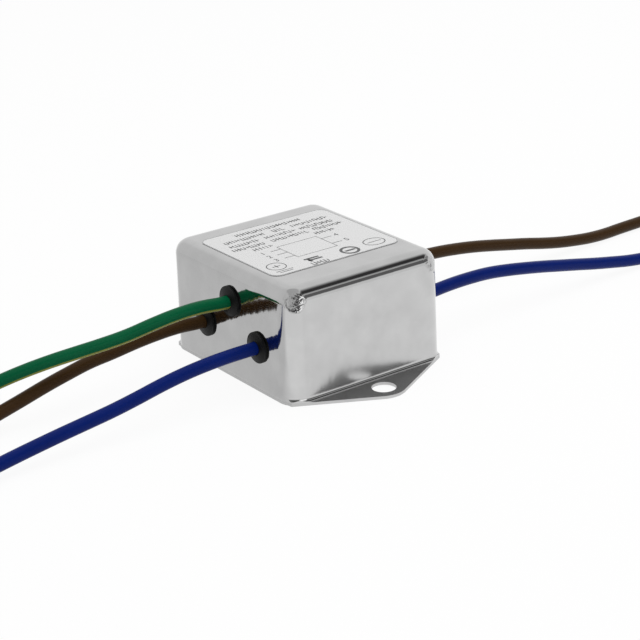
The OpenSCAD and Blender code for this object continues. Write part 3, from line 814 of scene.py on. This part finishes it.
for node in NODES:
    if node in INNER:
        finish(node, INNER[node])
    elif node.startswith("grommet_"):
        finish(node, RUBBER)
    elif node.startswith("tail_") or node == "solder_joints":
        finish(node, SOLDER)
finish("can", CAN_METAL)
finish("label", FILM)
finish("bottom_cover", COVER_METAL)
finish("earth_tab", COVER_METAL)
print("CAD nodes with a new finish:", sum(1 for n in NODES.values() if not n.hide_render))

# %% [markdown]
# ## Print on the label: line art
#
# A rating label carries a small circuit plan, a few approval marks and rows of text. A
# thermal printer lays each of them down as a flat film of ink. Nothing here copies real
# marks: the plan is a plain box with numbered leads, and the marks are plain shapes. Every
# stroke is a chain of points, and a Geometry Nodes tree widens it into a flat ribbon.

# %% Tree for printed strokes
tree, given = new_tree(
    "printed_strokes", {"Width": ("Float", 0.15 * MM), "Material": ("Material", None)}
)
chain = add(tree, "GeometryNodeMeshToCurve", {"Mesh": given["Geometry"]})
level_chain = add(tree, "GeometryNodeSetCurveNormal", {"Curve": chain}, mode="Z_UP")
half = add(tree, "ShaderNodeMath", {0: given["Width"], 1: 0.5}, operation="MULTIPLY")
other = add(tree, "ShaderNodeMath", {0: given["Width"], 1: -0.5}, operation="MULTIPLY")
start = add(tree, "ShaderNodeCombineXYZ", {"X": other})
end = add(tree, "ShaderNodeCombineXYZ", {"X": half})
flat = add(tree, "GeometryNodeCurvePrimitiveLine", {"Start": start, "End": end})
ribbon = add(tree, "GeometryNodeCurveToMesh", {"Curve": level_chain, "Profile Curve": flat})
end_tree(tree, ribbon, given["Material"])
PRINTED_STROKES = tree

# %% Strokes of the plan and the marks, in millimetres on the label
LABEL_LOW, LABEL_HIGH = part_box("label")
LABEL_CORNER = 2 * MM
CORNER_STEPS = 8
RING_POINTS = 40


def ring(x, y, across, deep):
    """A closed oval stroke round (x, y)."""
    turns = [2 * math.pi * i / RING_POINTS for i in range(RING_POINTS)]
    loop = [(x + across * math.cos(t), y + deep * math.sin(t)) for t in turns]
    return loop + loop[:1]


def label_edge(inset):
    """The label's rounded outline, a little inside its edge, in millimetres."""
    low, high, r = LABEL_LOW / MM, LABEL_HIGH / MM, LABEL_CORNER / MM
    centres = [
        (high.x - r, high.y - r, 0), (low.x + r, high.y - r, 90),
        (low.x + r, low.y + r, 180), (high.x - r, low.y + r, 270),
    ]
    loop = []
    for x, y, first in centres:
        for step in range(CORNER_STEPS + 1):
            t = math.radians(first + step * 90 / CORNER_STEPS)
            loop.append((x + (r - inset) * math.cos(t), y + (r - inset) * math.sin(t)))
    return loop + loop[:1]


PLAN = [
    [(-5.4, -6), (4, -6), (4, 1.2), (-5.4, 1.2), (-5.4, -6)],
    [(-7.8, -0.2), (-5.4, -0.2)], [(-7.8, -2.5), (-5.4, -2.5)], [(-7.8, -4.9), (-5.4, -4.9)],
    [(4, -0.6), (6.5, -0.6)], [(4, -4.2), (6.5, -4.2)],
]
THIN_MARKS = [
    ring(-11.6, -7.6, 1.9, 1.9), [(-13.4, -10.2), (-9.6, -10.2)], [(-13, -10.9), (-10, -10.9)],
    ring(10.8, -8.8, 2.3, 1.9), [(9.2, -8.8), (12.4, -8.8)],
    [(-11.6, -6.9), (-11.6, -8.3)], [(-12.5, -7.6), (-10.7, -7.6)],
]
THICK_MARKS = [
    ring(4.3, -9.6, 1.75, 1.75), [(3.2, -9.6), (5.6, -9.6)],
    [(-5.6, -8.2), (-2.2, -8.2)], [(-5.2, -9.1), (-1.9, -9.1)], [(-4.8, -8.2), (-4.8, -9.9)],
]
print("strokes on the label:", len(PLAN) + len(THIN_MARKS) + len(THICK_MARKS))

# %% Print the plan and the marks
INK_LIFT = 0.015 * MM  # the ink stands this far off the film, so that the two don't flicker
INK_HEIGHT = LABEL_HIGH.z + INK_LIFT
EDGE_INSET = 0.1  # millimetres


def printed(name, strokes, tree, values):
    """Runs a print tree on chains of points, given in millimetres, on the label."""
    points, edges = [], []
    for stroke in strokes:
        first = len(points)
        closed = stroke[0] == stroke[-1]
        chain = stroke[:-1] if closed else stroke
        points += [(x * MM, y * MM, INK_HEIGHT) for x, y in chain]
        edges += [(first + i, first + i + 1) for i in range(len(chain) - 1)]
        if closed:
            edges.append((first + len(chain) - 1, first))
    source = bpy.data.meshes.new(name + "_points")
    source.from_pydata(points, edges, [])
    piece = grown(name, source, tree, values)
    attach(piece, "root")
    return piece


for name, strokes, width, ink in (  # width in millimetres
    ("print_plan", PLAN, 0.17, INK),
    ("print_thin_marks", THIN_MARKS, 0.2, INK),
    ("print_thick_marks", THICK_MARKS, 0.6, INK),
    # a painted shade line just inside the label's edge
    ("painted_edge_shade_line", [label_edge(EDGE_INSET)], 0.16, EDGE_SHADE_INK),
):
    printed(name, strokes, PRINTED_STROKES, {"Width": width * MM, "Material": ink})

# %% [markdown]
# ## Print on the label: rows of text
#
# The rows are stand-ins for small type. Along each word, a tree sets a thin upright stroke at
# an even pitch, with short cross strokes between them at one of three heights. Both vary at
# random from a fixed seed, so that a row has the uneven grey of print without any letters.

# %% Tree for rows of small type: the stems
STEM_SMALLEST, STEM_LARGEST = (0.8, 0.6, 1), (1.3, 1.0, 1)  # shares of the stroke and height

tree, given = new_tree(
    "printed_rows",
    {
        "Pitch": ("Float", 0.62 * MM),
        "Type height": ("Float", 1.5 * MM),
        "Stroke": ("Float", 0.21 * MM),
        "Material": ("Material", None),
        "Seed": ("Int", 7),
    },
)
words = add(tree, "GeometryNodeMeshToCurve", {"Mesh": given["Geometry"]})
stops = add(
    tree, "GeometryNodeResampleCurve", {"Curve": words, "Length": given["Pitch"]}, mode="LENGTH"
)
upright = add(
    tree,
    "GeometryNodeMeshGrid",
    {"Size X": given["Stroke"], "Size Y": given["Type height"], "Vertices X": 2, "Vertices Y": 2},
)
taller = add(
    tree,
    "FunctionNodeRandomValue",
    {"Min": STEM_SMALLEST, "Max": STEM_LARGEST, "Seed": given["Seed"]},
    data_type="FLOAT_VECTOR",
)
stems = add(
    tree, "GeometryNodeInstanceOnPoints", {"Points": stops, "Instance": upright, "Scale": taller}
)

# %% Tree for rows of small type: the cross strokes
BAR_RISE = 0.42  # from the middle of a row to its upper strokes, as a share of the height
BARS_KEPT = 0.72  # share of the places that get a cross stroke

level_bar = add(
    tree,
    "GeometryNodeMeshGrid",
    {"Size X": given["Pitch"], "Size Y": given["Stroke"], "Vertices X": 2, "Vertices Y": 2},
)
thirds = add(  # below, in the middle or above
    tree,
    "FunctionNodeRandomValue",
    {"Min": -1, "Max": 1, "Seed": given["Seed"]},
    data_type="INT",
)
step = add(tree, "ShaderNodeMath", {0: given["Type height"], 1: BAR_RISE}, operation="MULTIPLY")
rise = add(tree, "ShaderNodeMath", {0: thirds.outputs[2], 1: step}, operation="MULTIPLY")
along = add(tree, "ShaderNodeMath", {0: given["Pitch"], 1: 0.5}, operation="MULTIPLY")
shift = add(tree, "ShaderNodeCombineXYZ", {"X": along, "Y": rise})
shifted = add(tree, "GeometryNodeSetPosition", {"Geometry": stops, "Offset": shift})
kept = add(
    tree,
    "FunctionNodeRandomValue",
    {"Probability": BARS_KEPT, "Seed": given["Seed"]},
    data_type="BOOLEAN",
)
bars = add(
    tree,
    "GeometryNodeInstanceOnPoints",
    {"Points": shifted, "Instance": level_bar, "Selection": kept.outputs[3]},
)
both = add(tree, "GeometryNodeJoinGeometry")
tree.links.new(stems.outputs[0], both.inputs[0])
tree.links.new(bars.outputs[0], both.inputs[0])
end_tree(tree, both, given["Material"])
PRINTED_ROWS = tree

# %% Rows of small type, in millimetres on the label
TYPE_ROWS = {  # height on the label: words from, to
    11.9: [(-7.8, 2), (2.2, 7.4)],
    9.5: [(-12, -3), (-0.6, 1.3), (4, 12)],
    7.1: [(-12.3, -6.2), (-4, 2.6), (4.4, 12)],
    4.9: [(-13, -6), (-4, 4), (6.2, 12.4)],
    2.7: [(-9.7, -6), (5, 9)],
    -11.1: [(-5.6, -2)],
}
WORDS = [[(a, y), (b, y)] for y, spans in TYPE_ROWS.items() for a, b in spans]
printed("print_rows", WORDS, PRINTED_ROWS, {"Material": INK})

# %% [markdown]
# ## Print on the label: the leads' numbers
#
# A plan numbers its leads, so that the buyer can tell them apart. The figures 1 to 5 are
# plain type. Each is made a mesh first and then moved to its place, and all of them are joined
# in one piece.

# %% Numbers of the leads
NUMBERS = {
    "1": (-9.6, -0.2), "2": (-9.6, -2.5), "3": (-9.6, -4.9), "4": (7.6, -0.6), "5": (7.6, -4.2),
}
NUMBER_SIZE = 2.0  # millimetres, a little over the height of a figure
FIGURE_STEPS = 3  # straight steps to each curved stretch of a figure
points, faces = [], []
for number, (x, y) in NUMBERS.items():
    curve = bpy.data.curves.new("number_" + number, "FONT")
    curve.body = number
    curve.size = NUMBER_SIZE * MM
    curve.resolution_u = FIGURE_STEPS
    curve.align_x, curve.align_y = "CENTER", "CENTER"
    probe = bpy.data.objects.new("probe", curve)
    shape = bpy.data.meshes.new_from_object(probe)
    first = len(points)
    points += [(v.co.x + x * MM, v.co.y + y * MM, INK_HEIGHT) for v in shape.vertices]
    faces += [[first + i for i in face.vertices] for face in shape.polygons]
    bpy.data.objects.remove(probe)
figures = bpy.data.meshes.new("print_numbers")
figures.from_pydata(points, [], faces)
figures.materials.append(INK)
numbers = new_object("print_numbers", figures)
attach(numbers, "root")
print("printed numbers:", len(NUMBERS), "with", len(faces), "faces")

# %% [markdown]
# ## Floor
#
# The filter lies on a white paper sheet. The camera and every mirror-like face see the paper
# as almost plain white, and the rest of it is lit paper, which keeps the part's soft shadow.
# Light Path tells the two apart. In reflections the paper is painted a little brighter than white,
# and painted grey only beside the line side's wall: a painted glow and a painted shade that only
# mirror-like faces see.

# %% Rays that see


def rays_that_see(tree):
    """1 for camera, glossy and transmission rays, and 0 for the light that falls on things."""
    path = add(tree, "ShaderNodeLightPath").outputs
    seen = path["Is Camera Ray"]
    for kind in ("Is Glossy Ray", "Is Transmission Ray"):
        seen = add(tree, "ShaderNodeMath", {0: seen, 1: path[kind]}, operation="MAXIMUM")
    return seen


# %% Floor
FLOOR_HALF = 2.0  # metres
FLOOR_DROP = 0.05 * MM  # the sheet lies this far below the can's mouth
FLOOR_GLOW = 0.92  # how much of the seen floor is plain white instead of lit paper
PAPER_LEVEL = 0.95  # how much light the lit paper returns
PAINTED_SHADE_ON_LEFT, PAINTED_GLOW_ELSEWHERE = 0.87, 1.18  # painted levels of the paper in reflections: painted shade beside the line-side wall, painted glow elsewhere
LEFT_EDGE = (-16 * MM, -20 * MM)  # where the painted grey starts and is full, along X
NEAR_EDGE = (-24 * MM, -14 * MM)  # likewise along Y

mesh = bpy.data.meshes.new("floor")
corners = [(x, y, -FLOOR_DROP) for x, y in ((-1, -1), (1, -1), (1, 1), (-1, 1))]
mesh.from_pydata([(x * FLOOR_HALF, y * FLOOR_HALF, z) for x, y, z in corners], [], [(0, 1, 2, 3)])
floor = new_object("floor", mesh)
print("floor:", 2 * FLOOR_HALF, "m square")

# %% Paper
paper = bpy.data.materials.new("white_paper")
paper.use_nodes = True
tree = paper.node_tree
tree.nodes.clear()
place = add(tree, "ShaderNodeTexCoord").outputs["Object"]
parts = add(tree, "ShaderNodeSeparateXYZ", {"Vector": place}).outputs
left, beside = (
    add(tree, "ShaderNodeMapRange", {"Value": value, "From Min": start, "From Max": end})
    for value, (start, end) in ((parts["X"], LEFT_EDGE), (parts["Y"], NEAR_EDGE))
)
# painted shade: where the paper seen in mirrors turns grey beside the line side's wall
painted_shade_mask = add(tree, "ShaderNodeMath", {0: left, 1: beside}, operation="MULTIPLY")
shade = add(
    tree,
    "ShaderNodeMapRange",
    {"Value": painted_shade_mask, "To Min": PAINTED_GLOW_ELSEWHERE, "To Max": PAINTED_SHADE_ON_LEFT},
)
glossy = add(tree, "ShaderNodeLightPath").outputs["Is Glossy Ray"]
strength = add(tree, "ShaderNodeMix", {"Factor": glossy, 2: 1.0, 3: shade}, data_type="FLOAT")
lit = add(tree, "ShaderNodeBsdfDiffuse", {"Color": (PAPER_LEVEL, PAPER_LEVEL, PAPER_LEVEL, 1)})
plain = add(tree, "ShaderNodeEmission", {"Color": (1, 1, 1, 1), "Strength": strength})
amount = add(tree, "ShaderNodeMath", {0: rays_that_see(tree), 1: FLOOR_GLOW}, operation="MULTIPLY")
mixed = add(tree, "ShaderNodeMixShader", {0: amount, 1: lit, 2: plain})
add(tree, "ShaderNodeOutputMaterial", {"Surface": mixed})
mesh.materials.append(paper)
print("paper has", len(tree.nodes), "nodes")

# %% [markdown]
# ## A studio for bright metal
#
# Bright metal has hardly any colour of its own: it looks like what stands round it. This
# studio is a white tent with one side open to a dark room, and a soft box at that side. The
# dark opening is what draws the dark lines along the can's edges and darkens the mounting
# ears. It is painted on the world by direction, as patches with soft edges: each has a level,
# where 1 is white, and two ranges in degrees. Azimuth counts from the -Y side towards the load
# side, and elevation from the horizon up.

# %% The studio's patches
TENT_LEFT = 0.9  # the tent's line side is a little greyer than its load side
TENT_SEAM = 0.12  # half the width of the change between them, as a part of the direction
STUDIO = [  # level, azimuth from, to, softness, elevation from, to, softness
    ("ceiling", 0.65, -400, 400, 1, 64, 100, 5),
    ("dark room", 0.17, -88, 82, 20, 15, 60, 2.5),
    ("black cloth", 0.05, -60, 78, 16, 42, 54, 2.5),
    ("light strip", 0.62, 22, 90, 8, 33, 40, 1.5),
    ("soft box", 1.7, -22, 16, 4, 14, 38, 2),
]


def between(tree, value, low, high, soft):
    """1 where a value lies between low and high, 0 elsewhere, with soft edges."""
    rise, fall = (
        add(
            tree,
            "ShaderNodeMapRange",
            {"Value": value, "From Min": start, "From Max": end},
            interpolation_type="SMOOTHSTEP",
        )
        for start, end in ((low - soft, low + soft), (high + soft, high - soft))
    )
    return add(tree, "ShaderNodeMath", {0: rise, 1: fall}, operation="MULTIPLY")


print("studio patches:", [patch[0] for patch in STUDIO])

# %% World
AMBIENT = 0.5  # level of the plain light that falls on everything

world = bpy.data.worlds.new("light_tent")
bpy.context.scene.world = world
world.use_nodes = True
tree = world.node_tree
tree.nodes.clear()
direction = add(tree, "ShaderNodeTexCoord").outputs["Generated"]
parts = add(tree, "ShaderNodeSeparateXYZ", {"Vector": direction}).outputs
ahead = add(tree, "ShaderNodeMath", {0: parts["Y"], 1: -1}, operation="MULTIPLY")
turn = add(tree, "ShaderNodeMath", {0: parts["X"], 1: ahead}, operation="ARCTAN2")
azimuth = add(tree, "ShaderNodeMath", {0: turn}, operation="DEGREES")
rise = add(tree, "ShaderNodeMath", {0: parts["Z"]}, operation="ARCSINE")
elevation = add(tree, "ShaderNodeMath", {0: rise}, operation="DEGREES")
tent = {"From Min": -TENT_SEAM, "From Max": TENT_SEAM, "To Min": TENT_LEFT, "To Max": 1}
level = add(tree, "ShaderNodeMapRange", {"Value": parts["X"], **tent})
for name, glow, left, right, side_soft, low, high, edge_soft in STUDIO:
    across = between(tree, azimuth, left, right, side_soft)
    upward = between(tree, elevation, low, high, edge_soft)
    inside = add(tree, "ShaderNodeMath", {0: across, 1: upward}, operation="MULTIPLY")
    level = add(tree, "ShaderNodeMix", {"Factor": inside, 2: level, 3: glow}, data_type="FLOAT")
mirrored = add(tree, "ShaderNodeLightPath").outputs["Is Glossy Ray"]
seen = rays_that_see(tree)
plainly = add(tree, "ShaderNodeMapRange", {"Value": seen, "To Min": AMBIENT, "To Max": 1})
strength = add(tree, "ShaderNodeMix", {"Factor": mirrored, 2: plainly, 3: level}, data_type="FLOAT")
sky = add(tree, "ShaderNodeBackground", {"Color": (1, 1, 1, 1), "Strength": strength})
add(tree, "ShaderNodeOutputWorld", {"Surface": sky})
print("the world has", len(tree.nodes), "nodes")

# %% [markdown]
# ## The lamp
#
# One large soft disk overhead gives the diffuse surfaces their shape and the part its faint
# shadow. Metal doesn't see the lamp, because the world already holds what metal mirrors.

# %% Lamp
LAMP_PLACE = (0.12, -0.1)  # metres, as are the next two
LAMP_HEIGHT = 0.6
LAMP_RADIUS = 0.4
LAMP_LEVEL = 0.5  # light on a face turned to it, where 1 shows a colour as it is written

lamp = bpy.data.lights.new("soft_disk", "AREA")
lamp.shape = "DISK"
lamp.size = 2 * LAMP_RADIUS
spread = LAMP_RADIUS**2 / (LAMP_RADIUS**2 + LAMP_HEIGHT**2)
lamp.energy = LAMP_LEVEL / spread * math.pi * math.pi * LAMP_RADIUS**2
disk = new_object("soft_disk", lamp)
disk.location = (*LAMP_PLACE, LAMP_HEIGHT)
disk.visible_glossy = False
print("lamp", lamp.size, "m wide,", round(lamp.energy, 2), "W")

# %% View transform and a last update
scene = bpy.context.scene
scene.view_settings.view_transform = "Standard"
bpy.context.view_layer.update()
